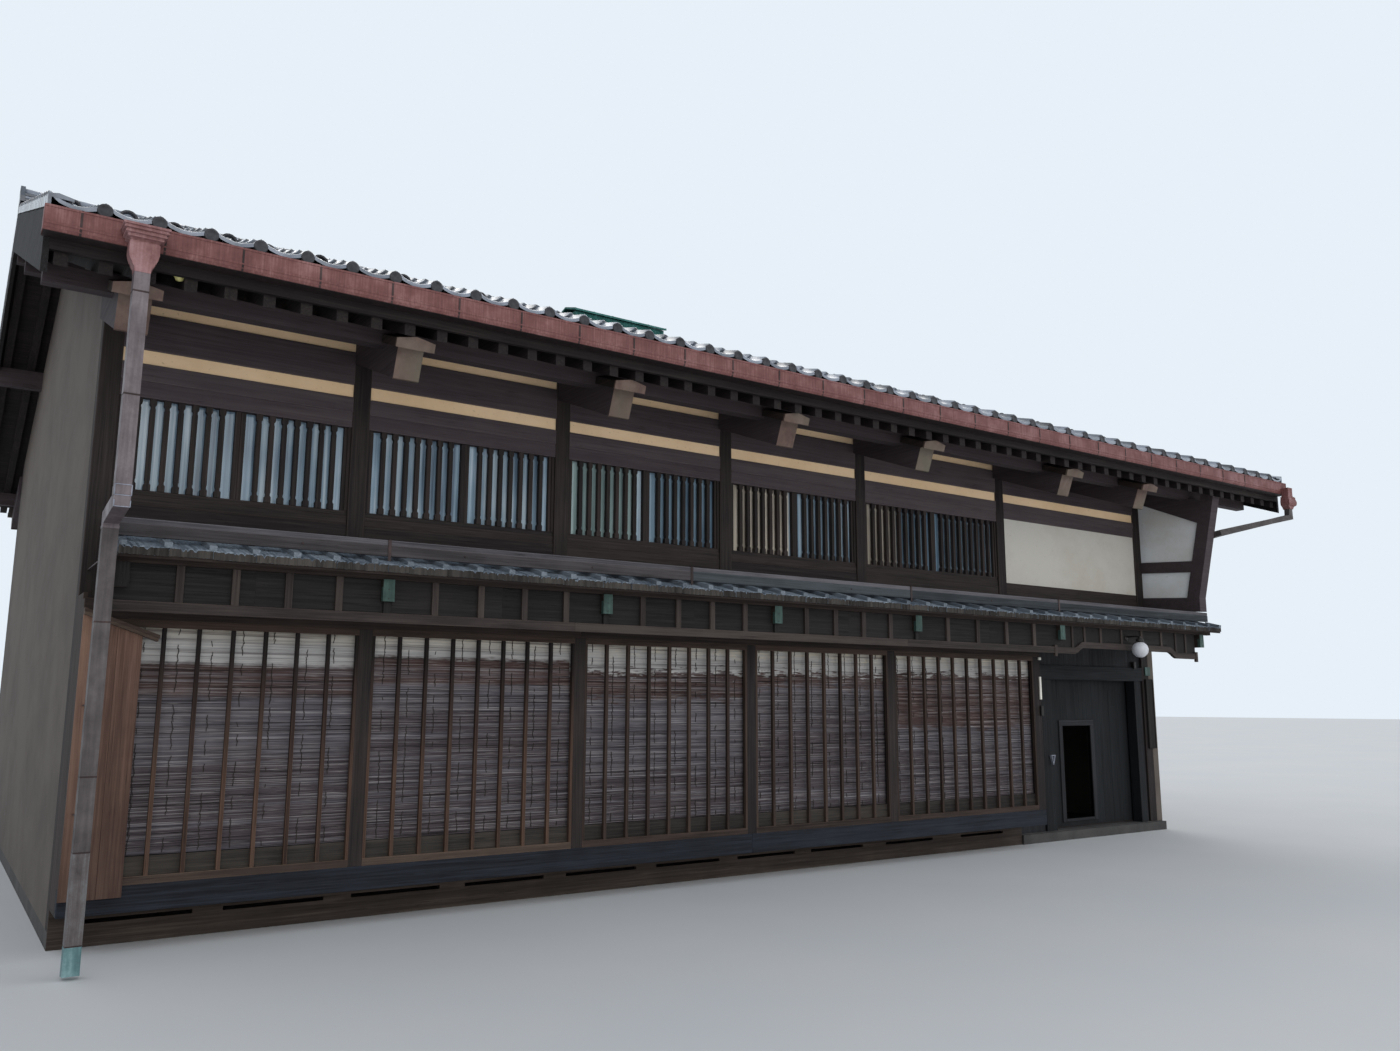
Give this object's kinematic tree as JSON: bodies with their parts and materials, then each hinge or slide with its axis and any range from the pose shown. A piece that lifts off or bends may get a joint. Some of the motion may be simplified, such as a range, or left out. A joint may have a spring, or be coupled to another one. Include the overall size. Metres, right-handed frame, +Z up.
{
  "type": "machiya townhouse",
  "caption": "Two-storey timber townhouse in a row, with a lattice front, a board pent roof and a tiled main roof. A great door with a wicket slides behind the wall.",
  "frame": {"origin": "on the ground, midway between the two end posts and midway between the front and back wall faces", "axes": "+X along the street to the right as seen from it, +Y into the house, +Z up"},
  "size_m": [15.555, 11.9152, 7.4869],
  "materials": {
    "stone": "rough",
    "dark_wood": "weathered",
    "brown_wood": "weathered",
    "grey_boards": "weathered",
    "reed": "matt",
    "plaster": "matt",
    "cream_plaster": "matt",
    "tile": "glossy",
    "earth": "rough",
    "copper": "weathered",
    "green_copper": "weathered",
    "glass": "clear",
    "opal_glass": "matt"
  },
  "bodies": {
    "house": {"foundation": "stone", "base_boards": "dark_wood", "lattice_frame": "dark_wood", "lattice": "brown_wood", "blinds": "reed", "lattice_boards": "dark_wood", "wing_board": "dark_wood", "posts": "dark_wood", "entrance_frame": "dark_wood", "entrance_boards": "dark_wood", "threshold": "stone", "door_tracks": "dark_wood", "name_board": "brown_wood", "globe_lamp": "opal_glass", "pent_arms": "dark_wood", "pent_arm_caps": "green_copper", "valance": "dark_wood", "entrance_valance": "dark_wood", "pent_roof": "grey_boards", "snow_board": "grey_boards", "upper_floor": "brown_wood", "wall_beams": "dark_wood", "wall_plates": "dark_wood", "plaster_strips": "cream_plaster", "plaster_panels": "plaster", "upper_windows": "brown_wood", "window_glass": "glass", "wing_frame": "dark_wood", "wing_panels": "plaster", "eave_arms": "dark_wood", "eave_arm_caps": "copper", "purlins": "dark_wood", "rafters": "dark_wood", "roof_boards": "dark_wood", "tile_bedding": "earth", "roof_tiles": "tile", "bargeboards": "dark_wood", "ridge": "tile", "ridge_vent": "copper", "gutters": "copper", "left_downpipe": "copper", "right_downpipe": "copper", "party_walls": "plaster", "back_boards": "dark_wood"},
    "great_door": {"great_door": "dark_wood"}
  },
  "joints": [
    {"name": "great_door_slide", "type": "slide", "parent": "house", "child": "great_door", "axis": [-1, 0, 0], "range_m": [0, 1.8]}
  ]
}
